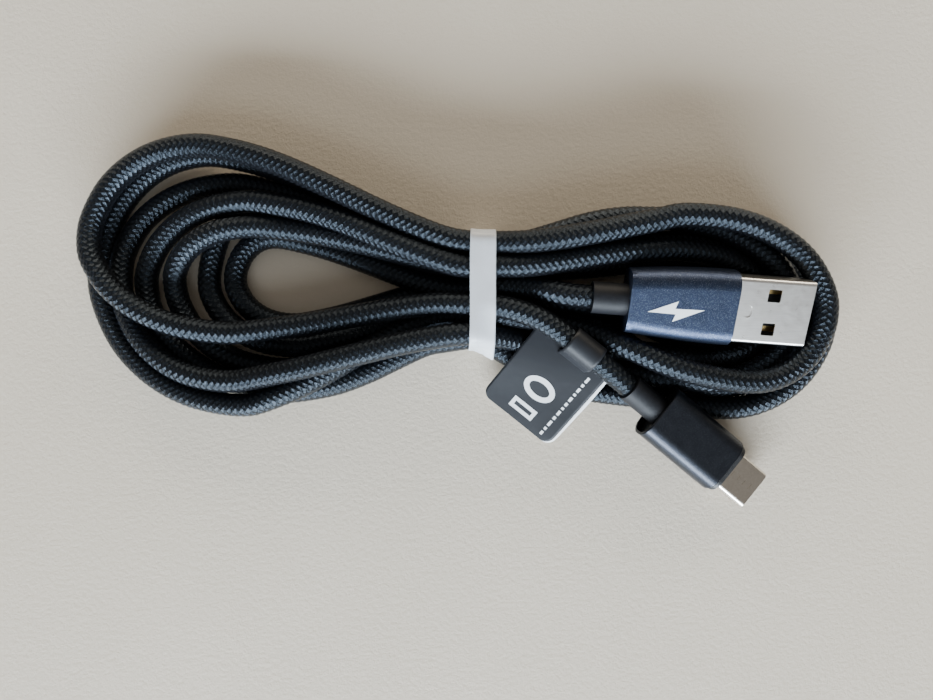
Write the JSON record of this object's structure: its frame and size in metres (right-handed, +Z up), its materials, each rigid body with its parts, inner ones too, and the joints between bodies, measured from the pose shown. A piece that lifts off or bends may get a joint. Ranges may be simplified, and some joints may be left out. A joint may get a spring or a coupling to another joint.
{
  "type": "charging cable",
  "caption": "Braided charging cable wound into a flat hank with a tie band, a wide flat plug at one end and a small oval plug at the other.",
  "frame": {"origin": "middle of the whole footprint, on the surface that the hank lies on", "axes": "+X along the hank towards the plugs, +Y across it away from the small plug, +Z up off the surface"},
  "size_m": [0.1443, 0.0717, 0.0156],
  "materials": {
    "braided_nylon": "black braided nylon with a cool sheen",
    "band_film": "white glossy film",
    "label_film": "dark grey satin film with white print",
    "anodised_housing": "blue-black, fine sandblasted and anodised",
    "satin_housing": "black, satin anodised",
    "relief_plastic": "black, satin",
    "steel_shell": "tinned steel, fine satin",
    "nickel_shell": "bright nickel",
    "black_insulator": "moulded, matte",
    "gold_contact": "gold plated",
    "spring_steel": "bright stamped",
    "crimp_metal": "tinned, dull",
    "inner_jacket": "extruded, matte",
    "core_red": "extruded insulation",
    "core_white": "extruded insulation",
    "core_green": "extruded insulation",
    "core_black": "extruded insulation",
    "circuit_board": "green solder resist",
    "chip": "ceramic chip with dark glaze"
  },
  "bodies": {
    "cable": {"cord_hank": "braided_nylon", "cord_lead_usb_a": "braided_nylon", "cord_lead_usb_c": "braided_nylon", "tie_band": "band_film", "usb_a_contact_carrier": "black_insulator", "usb_a_contact_data_minus": "gold_contact", "usb_a_contact_data_plus": "gold_contact", "usb_a_contact_ground": "gold_contact", "usb_a_contact_vbus": "gold_contact", "usb_a_core_black": "core_black", "usb_a_core_green": "core_green", "usb_a_core_red": "core_red", "usb_a_core_white": "core_white", "usb_a_crimp": "crimp_metal", "usb_a_housing": "anodised_housing", "usb_a_inner_mould": "black_insulator", "usb_a_jacket_end": "inner_jacket", "usb_a_shell": "steel_shell", "usb_a_strain_relief": "relief_plastic", "usb_c_circuit_board": "circuit_board", "usb_c_contacts_lower": "gold_contact", "usb_c_contacts_upper": "gold_contact", "usb_c_core_black": "core_black", "usb_c_core_green": "core_green", "usb_c_core_red": "core_red", "usb_c_core_white": "core_white", "usb_c_crimp": "crimp_metal", "usb_c_front_ring": "black_insulator", "usb_c_housing": "satin_housing", "usb_c_inner_mould": "black_insulator", "usb_c_insulator": "black_insulator", "usb_c_jacket_end": "inner_jacket", "usb_c_latch": "spring_steel", "usb_c_resistor": "chip", "usb_c_shell": "nickel_shell", "usb_c_strain_relief": "relief_plastic"},
    "label": {"cable_label": "label_film"}
  },
  "joints": [
    {"name": "label_swivel", "type": "hinge", "parent": "cable", "child": "label", "pos_m": [0.02388, -0.00512, 0.01015], "axis": [-0.7838, 0.6209, 0.0122], "range_deg": [0, 120]}
  ]
}
